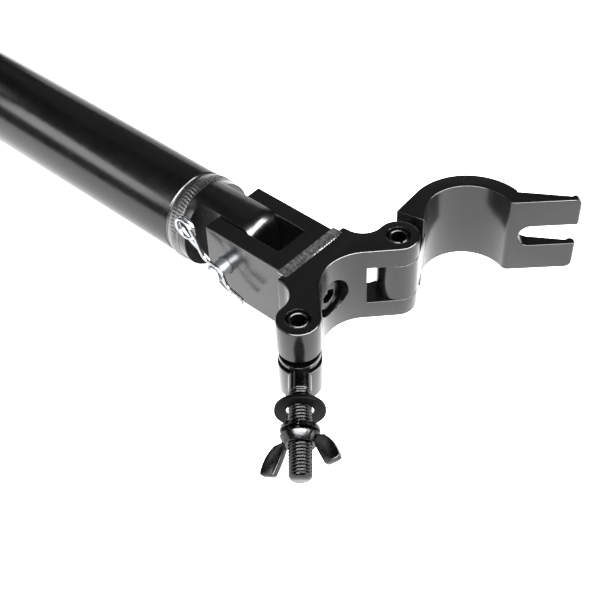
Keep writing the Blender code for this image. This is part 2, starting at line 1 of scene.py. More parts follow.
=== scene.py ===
"""Looks for the pinned tube arm with a half-coupler head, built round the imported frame.

Metres, in the frame's own axes: +X from the capped tube end to the clamp, +Y along the clevis
pin, +Z up.  Pieces of the clamp are built in their hinge's own axes in the closed place, where
the bolt and the jaw both look along +X, and are then turned out to where the frame has them.
"""

import json
from math import acos, asin, atan2, cos, degrees, pi, radians, sin, sqrt

import bmesh
import bpy
from mathutils import Matrix, Vector


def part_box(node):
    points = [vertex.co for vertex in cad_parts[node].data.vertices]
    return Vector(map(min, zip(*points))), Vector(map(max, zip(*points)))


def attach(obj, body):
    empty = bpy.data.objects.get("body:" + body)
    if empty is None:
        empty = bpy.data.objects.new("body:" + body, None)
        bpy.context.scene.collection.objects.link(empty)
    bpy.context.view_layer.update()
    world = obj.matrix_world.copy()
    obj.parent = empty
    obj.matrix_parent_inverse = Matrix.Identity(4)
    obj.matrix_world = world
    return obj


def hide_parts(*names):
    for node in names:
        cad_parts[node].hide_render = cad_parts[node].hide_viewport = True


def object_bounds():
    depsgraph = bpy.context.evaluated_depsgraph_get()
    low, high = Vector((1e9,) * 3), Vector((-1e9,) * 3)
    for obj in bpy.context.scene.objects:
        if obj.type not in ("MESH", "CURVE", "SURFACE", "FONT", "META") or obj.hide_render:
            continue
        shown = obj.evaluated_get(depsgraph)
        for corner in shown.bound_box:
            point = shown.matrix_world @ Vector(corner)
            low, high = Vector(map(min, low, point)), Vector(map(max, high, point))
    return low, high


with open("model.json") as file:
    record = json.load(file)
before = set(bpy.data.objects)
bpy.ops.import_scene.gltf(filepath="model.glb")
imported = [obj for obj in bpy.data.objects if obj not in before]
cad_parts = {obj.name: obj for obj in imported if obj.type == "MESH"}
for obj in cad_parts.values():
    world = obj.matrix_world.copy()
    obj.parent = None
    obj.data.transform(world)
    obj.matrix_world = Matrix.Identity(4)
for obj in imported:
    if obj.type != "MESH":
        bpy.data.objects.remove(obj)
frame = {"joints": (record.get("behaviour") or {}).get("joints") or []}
CAD_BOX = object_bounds()
JOINTS = {joint["name"]: joint for joint in frame["joints"]}

# ---- places, from the frame ---------------------------------------------------------------
PIN = Vector(JOINTS["head_tilt"]["pos_m"])
JAW_HINGE = Vector(JOINTS["jaw_swing"]["pos_m"])
BOLT_HINGE = Vector(JOINTS["bolt_swing"]["pos_m"])
JAW_OPEN = 133.9           # degrees from the closed place to the rest pose
BOLT_AXIS = Vector(JOINTS["nut_spin"]["axis"])
BOLT_OUT = degrees(atan2(BOLT_AXIS.y, BOLT_AXIS.x))
BOLT_DROOP = -degrees(asin(BOLT_AXIS.z))
TUBE_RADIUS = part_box("arm_tube")[1].z
TUBE_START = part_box("arm_tube")[0].x
TUBE_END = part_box("arm_tube")[1].x
WELD_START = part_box("tube_weld")[0].x
WELD_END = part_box("tube_weld")[1].x
WELD_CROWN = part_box("tube_weld")[1].z
FLOOR_Z = CAD_BOX[0][2]

# ---- dimensions, in metres and degrees ----------------------------------------------------
GAP = 0.0003               # between pieces that touch
OVERCUT = 0.002            # how far a cutting tool reaches past a piece
SKIN = 0.0001              # a hair's breadth, to keep surfaces from coinciding
TUBE_WALL = 0.003
TUBE_CHAMFER = 0.0006
CAP_WALL = 0.0025
CAP_DEPTH = 0.015
PREP_RADIUS = 0.0222       # the plug's weld cone starts here and widens to the tube's radius
PREP_LENGTH = 0.00985
WELD_TOE = 0.0242
WELD_RIPPLE = 0.0006
WELD_RIPPLES = 78
PLUG_SPIGOT = 0.020
SHOULDER = 0.0274
TONGUE_HALF = 0.0103
NOSE = 0.0118
NOSE_RADIUS = 0.009
BLOCK_HALF = 0.021
BLOCK_FRONT = 0.013
BLOCK_ROUND = 0.016
BLOCK_CHAMFER = 0.0025
SLOT_END = 0.0307
SLOT_HALF = TONGUE_HALF + GAP
SADDLE_BACK = 0.044
PIN_RADIUS = 0.005
PIN_HEAD_RADIUS = 0.008
PIN_HEAD = 0.003
PIN_TIP = 0.032
CLIP_Y = 0.0275
CLIP_WIRE = 0.00096
CLIP_COIL = 0.0063
CLIP_PITCH = 0.0022
CLIP_TILT = -42.6
CLAMP_Z = JAW_HINGE.z
CLAMP_HALF = 0.025
PIPE_RADIUS = 0.025
PIPE_X = 0.0833
HINGE_X = JAW_HINGE.x - PIN.x
HINGE_Y = JAW_HINGE.y
BOSS_RADIUS = 0.0116
BACK_HALF = 0.0265
BACK_CORNER = 0.0015
FLANK_SLOPE = 3.0
FLANK_FILLET = 0.012
SADDLE_CHAMFER = 0.0015
TOP_WELD_HALF = 0.0224
FORK_DEPTH = 0.0177
KNUCKLE_HALF = 0.0125
KNUCKLE_END = 255.5        # degrees, where the round knuckle runs into the jaw's inner side
BOLT_FORK_HALF = 0.0048
EYE_HALF = 0.0020
EYE_RADIUS = 0.0110
EYE_BORE = 0.0069
ROLL_PIN_RADIUS = 0.006
ROLL_PIN_BORE = 0.004
ROLL_PIN_SLOT = 0.0018
ROLL_PIN_RECESS = 0.0008
SCREW_FACE = 0.0560
SCREW_HEAD = 0.007
SCREW_HEAD_RADIUS = 0.009
SCREW_RADIUS = 0.006
SCREW_LENGTH = 0.016
SCREW_HEX = 0.008
SCREW_SOCKET = 0.004
SCREW_TIP_CHAMFER = 0.0008
COUNTERBORE = 0.011
JAW_OUTER = 0.0347
JAW_STEP = 0.0168
JAW_REACH = -31.2
TINE_FACE = 0.0208
TINE_FILLET = 0.004
TINE_CHAMFER = 0.0012
JAW_OUTER_END = (0.0321, -0.0682)
TINE_BACK = [(0.0317, -0.0686), (0.0305, -0.0686), (0.0246, -0.0975), (0.0256, -0.0992),
             (0.0259, -0.1007), (0.0245, -0.1024)]
TINE_END_Y = -0.1029
TINE_CORNER = 0.005
JAW_SLOT_HALF = 0.007
JAW_SLOT_END = -0.0765
THREAD_RADIUS = 0.00595
THREAD_ROOT = 0.00490
THREAD_START = 0.0226
THREAD_PITCH = 0.00175
BOLT_TIP = 0.0701
BOLT_NECK = 0.0136
TANG_HALF = 0.0052
WASHER_RADIUS = 0.013
WASHER_HOLE = 0.0071
WASHER_THICK = 0.0025
WASHER_AT = 0.0329
WASHER_LEAN = 7.0
WASHER_SAG = 0.0006
SPRING_RADIUS = 0.0101
SPRING_HOLE = 0.0062
SPRING_THICK = 0.0024
SPRING_AT = 0.0424
SPRING_RISE = 0.0010
NUT_AT = 0.0470
NUT_BASE_RADIUS = 0.0102
NUT_TOP_RADIUS = 0.0080
NUT_HEIGHT = 0.0055
NUT_BORE = 0.0061
NUT_TURN = 27.0
WING_HALF = 0.002

# ---- the photograph's camera --------------------------------------------------------------
CAMERA_AT = Vector((0.64384, -0.32620, 0.43335))
CAMERA_AZIMUTH = 43.44      # degrees round from -Y towards +X
CAMERA_ELEVATION = 45.3
CAMERA_ROLL = -2.5
CAMERA_LENS = 69.29         # millimetres on the sensor below
CAMERA_SENSOR = 36.0

# ---- the studio ---------------------------------------------------------------------------
FLOOR_GLOW = 2.35
# the floor's glow under the clevis slot, turned down into a painted shadow
SLOT_SHADOW_GLOW = 0.05           # under the clevis slot
STRIP_SIDES = (0.012, 0.024)    # |Y| where the dark strip begins to fade, and is gone
STRIP_END = (0.335, 0.350)      # the same in X
FLOOR_RADIUS = 9.0
FLOOR_CENTRE = (0.3, 0.0)
SOFTBOX_CENTRE = Vector((0.33, 0.0, 0.0))
SOFTBOX_DISTANCE = 1.3
# name, direction from the centre, wide, high, radiance
SOFTBOXES = (("softbox_front", (-0.48, -0.71, 0.52), 0.75, 0.40, 5.5),
             ("softbox_top", (0.55, -0.10, 0.80), 0.42, 0.34, 9.0),
             ("softbox_above", (-0.48, 0.51, 0.71), 0.90, 0.90, 0.12),
             ("softbox_right", (0.74, 0.28, 0.57), 1.20, 0.70, 28.0),
             ("softbox_camera", (0.48, -0.51, 0.71), 1.60, 0.70, 28.0),
             ("softbox_back", (-0.48, 0.86, 0.17), 0.90, 0.42, 1.2),
             ("softbox_left", (-0.78, -0.24, 0.58), 0.34, 0.34, 1.5))
# these light nothing; they only draw the bright lines on rounded edges
GLINTS = ("softbox_right", "softbox_camera")
DARK_ROOM = (0.035, 0.035, 0.037, 1.0)
WHITE = (1.0, 1.0, 1.0, 1.0)

AXES = {"X": Matrix.Identity(4),
        "Y": Matrix.Rotation(pi / 2, 4, "Z"),
        "Z": Matrix.Rotation(-pi / 2, 4, "Y")}


# ---- materials ----------------------------------------------------------------------------
class Nodes:
    """A material's node tree with short calls for the nodes that the finishes share."""

    def __init__(self, name):
        self.material = bpy.data.materials.new(name)
        self.material.use_nodes = True
        self.tree = self.material.node_tree
        self.shader = self.tree.nodes["Principled BSDF"]
        self.place = self.add("ShaderNodeTexCoord").outputs["Object"]

    def add(self, kind, **values):
        node = self.tree.nodes.new(kind)
        for name, value in values.items():
            setattr(node, name, value)
        return node

    def link(self, source, target):
        self.tree.links.new(source, target)

    def noise(self, scale, detail=3.0, rough=0.5):
        node = self.add("ShaderNodeTexNoise")
        node.inputs["Scale"].default_value = scale
        node.inputs["Detail"].default_value = detail
        node.inputs["Roughness"].default_value = rough
        self.link(self.place, node.inputs["Vector"])
        return node.outputs["Fac"]

    def math(self, operation, *sources):
        node = self.add("ShaderNodeMath", operation=operation)
        for socket, source in zip(node.inputs, sources):
            self.link(source, socket)
        return node.outputs["Value"]

    def fade(self, source, low, high, before, after):
        """A smooth step of a number: before up to low, after from high on."""
        node = self.add("ShaderNodeMapRange", interpolation_type="SMOOTHSTEP")
        limits = {"From Min": low, "From Max": high, "To Min": before, "To Max": after}
        for name, value in limits.items():
            node.inputs[name].default_value = value
        self.link(source, node.inputs["Value"])
        return node.outputs["Result"]

    def ramp(self, source, low, high, dark, light):
        """Colour or value ramp: source from low to high gives dark to light."""
        node = self.add("ShaderNodeValToRGB")
        first, last = node.color_ramp.elements
        first.position, last.position = low, high
        first.color = self.colour(dark)
        last.color = self.colour(light)
        self.link(source, node.inputs["Fac"])
        return node.outputs["Color"]

    @staticmethod
    def colour(value):
        return (*value, 1.0) if isinstance(value, tuple) else (value, value, value, 1.0)

    def vary(self, socket, noise, dark, light, low=0.3, high=0.7):
        """Drive one of the shader's inputs with a noise, from dark to light."""
        self.link(self.ramp(self.noise(*noise), low, high, dark, light), self.shader.inputs[socket])

    def bump(self, *layers):
        """Stack (height source, strength, distance) bumps and put them on the shader."""
        normal = None
        for height, strength, distance in layers:
            node = self.add("ShaderNodeBump")
            node.inputs["Strength"].default_value = strength
            node.inputs["Distance"].default_value = distance
            self.link(height, node.inputs["Height"])
            if normal:
                self.link(normal, node.inputs["Normal"])
            normal = node.outputs["Normal"]
        self.link(normal, self.shader.inputs["Normal"])

    def set(self, **values):
        for name, value in values.items():
            self.shader.inputs[name.replace("_", " ")].default_value = value


def powder_coat(name, rough=(0.17, 0.24)):
    """Satin black powder coat: an even, slightly pebbled skin."""
    coat = Nodes(name)
    coat.vary("Base Color", (38.0, 4.0, 0.6), (0.0075, 0.0075, 0.0080), (0.0115, 0.0115, 0.0120))
    coat.vary("Roughness", (140.0, 5.0, 0.65), *rough, 0.25, 0.75)
    wave = coat.noise(420.0, 2.0, 0.4)
    pebble = coat.noise(2600.0, 2.0, 0.5)
    coat.bump((wave, 0.07, 0.0004), (pebble, 0.112, 0.0001))
    coat.set(IOR=1.52)
    return coat.material


def weld_coat(name, dark=(0.020, 0.020, 0.021), light=(0.110, 0.110, 0.112)):
    """A thinner coat over a weld bead, rougher than the parts it joins; its lighter grey is partly
    painted sheen, for the light the rippled bead catches.
    """
    coat = Nodes(name)
    coat.vary("Base Color", (420.0, 4.0, 0.6), dark, light)
    coat.vary("Roughness", (700.0, 3.0), 0.17, 0.30)
    coat.bump((coat.noise(900.0, 4.0, 0.6), 0.20, 0.0003),
              (coat.noise(3200.0, 2.0), 0.12, 0.0001))
    coat.set(IOR=1.85)
    return coat.material


def black_hardware(name, dark=(0.030, 0.030, 0.031), light=(0.046, 0.046, 0.047),
                   rough=(0.12, 0.24)):
    """Glossy black plating on the bolt, nut and screw: a dark metal, no diffuse bloom."""
    plate = Nodes(name)
    plate.vary("Base Color", (220.0, 4.0, 0.6), dark, light)
    plate.vary("Roughness", (500.0, 4.0, 0.6), *rough, 0.25, 0.75)
    plate.bump((plate.noise(1500.0, 3.0, 0.5), 0.10, 0.0002))
    plate.set(Metallic=1.0)
    return plate.material


def dull_black(name):
    """Matt black oxide on the flat washer, faintly mottled."""
    oxide = Nodes(name)
    oxide.vary("Base Color", (350.0, 5.0, 0.7), 0.004, 0.010)
    oxide.vary("Roughness", (600.0, 4.0, 0.6), 0.38, 0.52, 0.25, 0.75)
    oxide.bump((oxide.noise(1800.0, 4.0, 0.6), 0.25, 0.0002))
    oxide.set(IOR=1.13)
    return oxide.material


def zinc_plate(name, dark=(0.28, 0.29, 0.30), light=(0.38, 0.39, 0.40), rough=(0.14, 0.24)):
    """Bright zinc: a pale metal with soft cloudy patches and a fine grain."""
    zinc = Nodes(name)
    zinc.vary("Base Color", (260.0, 4.0, 0.6), dark, light)
    zinc.vary("Roughness", (900.0, 3.0), *rough)
    zinc.bump((zinc.noise(1800.0, 3.0, 0.6), 0.12, 0.0002))
    zinc.set(Metallic=1.0)
    return zinc.material


def cap_plastic(name):
    """Moulded black plastic with a fine spark-eroded grain."""
    plastic = Nodes(name)
    plastic.vary("Base Color", (60.0, 3.0), 0.014, 0.022)
    plastic.vary("Roughness", (400.0, 4.0), 0.42, 0.58)
    plastic.bump((plastic.noise(2200.0, 3.0, 0.6), 0.35, 0.0002))
    return plastic.material


def floor_white(name):
    """A pale lit table, bright enough to leave no hard shadow.

    The strip right under the clevis slot has its glow turned down into a painted shadow, which only
    other surfaces see.
    """
    table = Nodes(name)
    table.vary("Base Color", (3.0, 2.0), 0.80, 0.84, 0.2, 0.8)
    table.set(Roughness=0.6, Specular_IOR_Level=0.0)
    table.shader.inputs["Emission Color"].default_value = WHITE
    across = table.add("ShaderNodeSeparateXYZ")
    table.link(table.place, across.inputs["Vector"])
    aside = table.math("ABSOLUTE", across.outputs["Y"])
    # painted shadow: the glow drops in a strip under the slot, seen only in reflections
    beside = table.fade(aside, *STRIP_SIDES, SLOT_SHADOW_GLOW, FLOOR_GLOW)
    beyond = table.fade(across.outputs["X"], *STRIP_END, SLOT_SHADOW_GLOW, FLOOR_GLOW)
    glow = table.math("MAXIMUM", beside, beyond)
    seen = table.add("ShaderNodeLightPath").outputs["Is Camera Ray"]
    table.link(table.math("ADD", glow, seen), table.shader.inputs["Emission Strength"])
    return table.material


# ---- mesh tools ---------------------------------------------------------------------------
def arc(centre, radius, start, end, steps):
    angles = [radians(start + (end - start) * i / steps) for i in range(steps + 1)]
    return [(centre[0] + radius * cos(a), centre[1] + radius * sin(a)) for a in angles]


def join_rings(shape, rings, closed=False):
    """Skin a row of rings with quads; an open row gets a face at each end."""
    count = len(rings[0])
    following = rings[1:] + rings[:1] if closed else rings[1:]
    for ring, other in zip(rings, following):
        for k in range(count):
            shape.faces.new((ring[k], ring[(k + 1) % count], other[(k + 1) % count], other[k]))
    if not closed:
        shape.faces.new(rings[0])
        shape.faces.new(rings[-1])


def prism(outline, low, high, axis="Z"):
    """Raise an outline along Z, or along Y (outline in X and Z), or along X (in Y and Z)."""
    place = {"Z": lambda a, b, c: (a, b, c),
             "Y": lambda a, b, c: (a, c, b),
             "X": lambda a, b, c: (c, a, b)}
    shape = bmesh.new()
    rings = [[shape.verts.new(place[axis](a, b, c)) for a, b in outline] for c in (low, high)]
    join_rings(shape, rings)
    return shape


def turned(profile, steps, axis="X", closed=False, at=(0.0, 0.0, 0.0)):
    """Turn a profile of (along, radius) points; an open one runs from the axis to the axis."""
    shape = bmesh.new()
    angles = [2 * pi * i / steps for i in range(steps)]
    rings = []
    for along, radius in profile:
        if radius:
            rings.append([shape.verts.new((along, -radius * sin(a), radius * cos(a)))
                          for a in angles])
        else:
            rings.append([shape.verts.new((along, 0.0, 0.0))] * steps)
    pairs = list(zip(rings, rings[1:]))
    if closed:
        pairs.append((rings[-1], rings[0]))
    for ring, other in pairs:
        for i in range(steps):
            # a ring on the axis is one vert, so its faces have three corners
            corners = dict.fromkeys((ring[i - 1], ring[i], other[i], other[i - 1]))
            shape.faces.new(list(corners))
    shape.transform(Matrix.Translation(at) @ AXES[axis])
    return shape


def rod(radius, low, high, steps, axis="X", at=(0.0, 0.0, 0.0)):
    return turned([(low, 0.0), (low, radius), (high, radius), (high, 0.0)], steps, axis, at=at)


def box(low, high):
    return prism([(low[0], low[1]), (high[0], low[1]), (high[0], high[1]), (low[0], high[1])],
                 low[2], high[2])


def soften(shape, width, segments=4, angle=70.0):
    """Round a bmesh's sharp edges."""
    limit = radians(angle)
    bmesh.ops.recalc_face_normals(shape, faces=shape.faces[:])
    shape.normal_update()
    edges = [e for e in shape.edges if len(e.link_faces) == 2 and e.calc_face_angle(0.0) > limit]
    bmesh.ops.bevel(shape, geom=edges, offset=width, offset_type="OFFSET", segments=segments,
                    profile=0.5, affect="EDGES", clamp_overlap=True)
    return shape


def to_mesh(name, shape):
    bmesh.ops.recalc_face_normals(shape, faces=shape.faces[:])
    mesh = bpy.data.meshes.new(name)
    shape.to_mesh(mesh)
    shape.free()
    return mesh


def link(name, data):
    thing = bpy.data.objects.new(name, data)
    bpy.context.scene.collection.objects.link(thing)
    return thing


def cut(shape, tools):
    """Apply Booleans to a bmesh: tools are (bmesh, operation) pairs."""
    thing = link("work", to_mesh("work", shape))
    helpers = []
    for tool_shape, operation in tools:
        tool = link("tool", to_mesh("tool", tool_shape))
        step = thing.modifiers.new("cut", "BOOLEAN")
        step.operation = operation
        step.object = tool
        step.solver = "EXACT"
        helpers.append(tool)
    graph = bpy.context.evaluated_depsgraph_get()
    result = bmesh.new()
    result.from_mesh(thing.evaluated_get(graph).to_mesh())
    for old in [thing, *helpers]:
        mesh = old.data
        bpy.data.objects.remove(old)
        bpy.data.meshes.remove(mesh)
    bmesh.ops.remove_doubles(result, verts=result.verts[:], dist=2e-6)
    bmesh.ops.dissolve_degenerate(result, edges=result.edges[:], dist=1e-6)
    return result


def place(name, shape, matrix, material, body, node, slot, sharp=38.0):
    """Turn a bmesh into a finished piece that rides on a body and stands for a CAD node."""
    shape.transform(matrix)
    mesh = to_mesh(name, shape)
    mesh.materials.append(material)
    mesh.shade_smooth()
    mesh.set_sharp_from_angle(angle=radians(sharp))
    thing = link(name, mesh)
    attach(thing, body)
    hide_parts(node)
    return thing


def round_edges(thing, width, segments=3, angle=35.0, clamp=True):
    """A live Bevel on a piece's sharp edges; clamping makes it vanish on Boolean meshes."""
    bevel = thing.modifiers.new("edges", "BEVEL")
    bevel.width = width
    bevel.segments = segments
    bevel.limit_method = "ANGLE"
    bevel.angle_limit = radians(angle)
    bevel.use_clamp_overlap = clamp
    bevel.harden_normals = True
    bevel.miter_outer = "MITER_ARC"


HEAD = Matrix.Translation(PIN)
JAW_PLACE = Matrix.Translation(JAW_HINGE) @ Matrix.Rotation(radians(JAW_OPEN), 4, "Z")
BOLT_TURN = (Matrix.Rotation(radians(BOLT_OUT), 4, "Z")
             @ Matrix.Rotation(radians(BOLT_DROOP), 4, "Y"))
BOLT_PLACE = Matrix.Translation(BOLT_HINGE) @ BOLT_TURN


# ---- the arm ------------------------------------------------------------------------------
def arm_tube(mat):
    inner = TUBE_RADIUS - TUBE_WALL
    edge = 0.0004
    turn = TUBE_END - TUBE_CHAMFER
    profile = [(TUBE_START, inner), (TUBE_START, TUBE_RADIUS - edge),
               (TUBE_START + edge, TUBE_RADIUS), (turn - SKIN, TUBE_RADIUS),
               (turn + SKIN, TUBE_RADIUS - SKIN), (TUBE_END, TUBE_RADIUS - TUBE_CHAMFER),
               (TUBE_END, inner)]
    place("tube_skin", turned(profile, 160, closed=True), Matrix(), mat,
          "arm", "arm_tube", "black_coat")


def tube_end_cap(mat):
    flange = TUBE_START - GAP
    edge = 0.0012
    spigot = TUBE_RADIUS - TUBE_WALL - GAP
    hollow = spigot - CAP_WALL
    depth = flange + CAP_DEPTH
    lip = 0.0003
    lead = 0.001
    rim = arc((edge, TUBE_RADIUS - edge), edge, 180, 90, 6)
    # a shallow moulded ring in the outer face
    ring = [(0.0, 0.0168), (0.0005, 0.0171), (0.0005, 0.0179), (0.0, 0.0182)]
    profile = [(0.0, 0.0), *ring, *rim, (flange - lip, TUBE_RADIUS), (flange, TUBE_RADIUS - lip),
               (flange, spigot), (depth - lead, spigot), (depth, spigot - lead), (depth, hollow),
               (flange, hollow), (flange, 0.0)]
    place("end_cap", turned(profile, 120), Matrix(), mat, "arm", "tube_end_cap", "cap_plastic")


def tongue_plug(mat):
    """A turned plug with a rounded nose, milled flat on both sides and bored for the pin."""
    joint = TUBE_END + GAP
    start = joint - PLUG_SPIGOT
    spigot = TUBE_RADIUS - TUBE_WALL - GAP
    nose = PIN.x + NOSE
    shoulder = PIN.x - SHOULDER
    far = TUBE_RADIUS + OVERCUT
    rim = arc((nose - NOSE_RADIUS, TUBE_RADIUS - NOSE_RADIUS), NOSE_RADIUS, 90, 0, 24)
    profile = [(start, 0.0), (start, spigot), (joint, spigot), (joint, PREP_RADIUS),
               (joint + PREP_LENGTH, TUBE_RADIUS), *rim, (nose, 0.0)]
    tools = []
    for side in (-1, 1):
        low, high = sorted((side * TONGUE_HALF, side * far))
        tools.append((box((shoulder, low, -far), (nose + OVERCUT, high, far)), "DIFFERENCE"))
    tools.append((rod(PIN_RADIUS + GAP, -far, far, 64, "Y", (PIN.x, 0.0, 0.0)), "DIFFERENCE"))
    plug = place("tongue_plug_skin", cut(turned(profile, 128), tools), Matrix(), mat,
                 "arm", "tongue_plug", "black_coat")
    round_edges(plug, 0.0004)


def ripple(along, across, pitch):
    """Height of a weld's frozen ripples, from 0 to 1: steep leading edges bowed into crescents."""
    bow, skew = 0.55, 0.7
    phase = (along / pitch + bow * across * across) % 1.0
    rise = 0.5 - 0.5 * cos(2 * pi * phase ** skew)
    return rise * (1.0 - across ** 4)


def tube_weld(mat):
    """A ring bead on the plug's weld cone: a closed grid, rippled on top and plain beneath."""
    rounds, wide = 900, 24
    joint = TUBE_END + GAP
    slope = (TUBE_RADIUS - PREP_RADIUS) / PREP_LENGTH
    sunk = 0.0002
    bed = PREP_RADIUS + slope * (WELD_START - joint) + sunk
    lip = TUBE_RADIUS - TUBE_CHAMFER
    far_toe = TUBE_RADIUS + SKIN
    bulge = WELD_CROWN - sunk - (WELD_TOE + far_toe) / 2
    mean_ripple = 0.7
    tuck = 0.0006
    length = 2 * pi * TUBE_RADIUS
    pitch = length / WELD_RIPPLES
    shape = bmesh.new()
    rings = []
    for i in range(rounds):
        angle = 2 * pi * i / rounds
        along = length * i / rounds
        wander = 0.0004 * (0.5 + 0.5 * sin(7 * angle + 0.6) * sin(17 * angle))
        outline = [(TUBE_END - sunk, lip)]
        for j in range(wide + 1):
            share = j / wide
            across = 2 * share - 1
            level = WELD_TOE + (far_toe - WELD_TOE) * share + 4 * bulge * share * (1 - share)
            wave = ripple(along, across, pitch) - mean_ripple
            level += WELD_RIPPLE * wave * (1 - across ** 4) * share ** 1.3
            x = WELD_START + (WELD_END - wander - WELD_START) * share
            outline.append((x, min(level, WELD_CROWN)))
        outline += [(WELD_END - tuck, TUBE_RADIUS + SKIN / 2), (TUBE_END - sunk, bed)]
        rings.append([shape.verts.new((x, radius * sin(angle), radius * cos(angle)))
                      for x, radius in outline])
    join_rings(shape, rings, closed=True)
    place("tube_bead", shape, Matrix(), mat, "arm", "tube_weld", "weld_coat", 60.0)


# ---- the clevis ---------------------------------------------------------------------------
def clevis_block(mat):
    end = SADDLE_BACK - GAP
    centre = (BLOCK_ROUND - BLOCK_FRONT, BLOCK_ROUND - BLOCK_HALF)
    outline = [*arc(centre, BLOCK_ROUND, 180, 270, 30), (end, -BLOCK_HALF), (end, BLOCK_HALF),
               (-BLOCK_FRONT, BLOCK_HALF)]
    shape = prism(outline, -BLOCK_HALF, BLOCK_HALF, "Y")
    welded = [e for e in shape.edges if all(abs(v.co.x - end) < 1e-6 for v in e.verts)]
    bmesh.ops.bevel(shape, geom=welded, offset=BLOCK_CHAMFER, segments=1, affect="EDGES")
    far = BLOCK_HALF + OVERCUT
    screw_tip = SCREW_FACE - SCREW_HEAD - SCREW_LENGTH - GAP
    tools = [(box((-BLOCK_FRONT - OVERCUT, -SLOT_HALF, -far), (SLOT_END, SLOT_HALF, far)),
              "DIFFERENCE"),
             (rod(PIN_RADIUS + GAP, -far, far, 64, "Y"), "DIFFERENCE"),
             (rod(SCREW_RADIUS + GAP, screw_tip, SADDLE_BACK + OVERCUT, 48,
                  at=(0.0, 0.0, CLAMP_Z)), "DIFFERENCE")]
    block = place("clevis_skin", cut(shape, tools), HEAD, mat, "head", "clevis_block", "black_coat")
    round_edges(block, 0.0005, clamp=False)


def straight_bead(mat, name, node, side, half, near, far, crown, pitch, phase):
    """A rippled bead along one edge of the block's welded end.

    near and far are (X, out from the block's face) where it meets the block and the saddle.
    """
    lengthways, wide = 190, 16
    fade_in, blunt = 6.5, 0.08          # how fast the crown rises at the ends, and from what
    sway = 0.0004
    root = Vector((SADDLE_BACK - GAP - 0.0002, -0.0012))
    shape = bmesh.new()
    rings = []
    normal = Vector((-(far[1] - near[1]), far[0] - near[0])).normalized()
    for i in range(lengthways + 1):
        share = i / lengthways
        along = (2 * share - 1) * half
        taper = min(1.0, fade_in * min(share, 1 - share) + blunt) ** 0.5
        ring = []
        for j in range(wide + 1):
            across = 2 * j / wide - 1
            mix = (across + 1) / 2
            wave = 0.5 * (ripple(along, across, pitch) - 0.5)
            swell = 0.80 + 0.1 * sin(150 * along + phase) + wave
            height = crown * taper * min(swell, 1.0) * (1 - across * across) ** 0.75
            bend = sway * sin(90 * along + phase) * (1 - across * across)
            x = near[0] + (far[0] - near[0]) * mix + normal.x * height + bend
            out = near[1] + (far[1] - near[1]) * mix + normal.y * height
            ring.append(shape.verts.new((x, along, out + BLOCK_HALF)))
        ring.append(shape.verts.new((root.x, along, root.y + BLOCK_HALF)))
        rings.append(ring)
    join_rings(shape, rings)
    turn = HEAD @ Matrix.Rotation(radians(side), 4, "X")
    place(name, shape, turn, mat, "head", node, "weld_coat", 60.0)


def block_welds(mat):
    start = SADDLE_BACK - GAP - BLOCK_CHAMFER
    chamfer_end = SADDLE_BACK + SADDLE_CHAMFER + 0.0018
    wall = SADDLE_BACK - SKIN
    under = BLOCK_HALF + 0.00075
    short = BLOCK_HALF - BLOCK_CHAMFER - GAP
    # name, node, side, half length, near edge, far edge, crown, ripple pitch, phase
    beads = (("bead_top", "block_weld_top", 0, TOP_WELD_HALF,
              (start - 0.0006, SKIN), (chamfer_end, SKIN), 0.0010, 0.0019, 0.4),
             ("bead_bottom", "block_weld_bottom", 180, under,
              (start - 0.0005, SKIN), (wall, 0.0040), 0.0006, 0.0019, 1.7),
             ("bead_left", "block_weld_left", 270, short,
              (start - 0.0004, SKIN), (wall, 0.0015), 0.0005, 0.0018, 2.9),
             ("bead_right", "block_weld_right", 90, short,
              (start - 0.0004, SKIN), (wall, 0.0015), 0.0005, 0.0018, 4.1))
    for bead in beads:
        straight_bead(mat, *bead)


def clevis_pin(mat):
    face = BLOCK_HALF + GAP
    outer = face + PIN_HEAD
    chamfer = 0.001
    edge = 0.0008
    burr = 0.0002
    play = 0.0004
    profile = [(-PIN_TIP, 0.0), (-PIN_TIP, PIN_RADIUS - chamfer), (-PIN_TIP + chamfer, PIN_RADIUS),
               (face, PIN_RADIUS), (face, PIN_HEAD_RADIUS - burr), (face + burr, PIN_HEAD_RADIUS),
               (outer - edge, PIN_HEAD_RADIUS), (outer, PIN_HEAD_RADIUS - edge), (outer, 0.0)]
    hole = rod(CLIP_WIRE + play, -2 * PIN_RADIUS, 2 * PIN_RADIUS, 32)
    hole.transform(Matrix.Translation((0.0, -CLIP_Y, 0.0))
                   @ Matrix.Rotation(-radians(CLIP_TILT), 4, "Y"))
    shape = cut(turned(profile, 96, "Y"), [(hole, "DIFFERENCE")])
    pin = place("pin_zinc", shape, HEAD, mat, "pin", "clevis_pin", "zinc_plate")
    round_edges(pin, 0.00015, 2)


def clip_route():
    """The clip's wire: a leg through the pin, two coils, and a waved leg round the pin."""
    leg = (cos(radians(CLIP_TILT)), sin(radians(CLIP_TILT)))
    coil = (-0.0195, 0.0215)
    first, last = 227.8, 19.3 - 360     # degrees round the coil, almost two turns
    steps = 36
    straight = [(0.0178, -0.0134), (0.0140, -0.0117)]
    straight += [(leg[0] * s, leg[1] * s) for s in (0.0125, 0.006, -0.006, -0.0105)]
    straight += [(-0.0118, 0.0091), (-0.0150, 0.0103), (-0.0185, 0.0122)]
    turns = arc(coil, CLIP_COIL, first, last, steps)
    waved = [(-0.0112, 0.0190), (-0.0086, 0.0121), (-0.0065, 0.0082), (-0.0030, 0.0068),
             (0.0010, 0.0064), (0.0044, 0.0050), (0.0070, 0.0020), (0.0085, -0.0020),
             (0.0105, -0.0043), (0.0140, -0.0052), (0.0206, -0.0071)]
    drift = CLIP_PITCH * (first - last) / 360
    route = [(x, -CLIP_Y, z) for x, z in straight]
    route += [(x, -CLIP_Y - drift * i / steps, z) for i, (x, z) in enumerate(turns)]
    settle = drift - CLIP_PITCH
    for i, (x, z) in enumerate(waved):
        route.append((x, -CLIP_Y - drift + settle * min(1.0, (i + 1) / 4), z))
    return [Vector(point) for point in route]


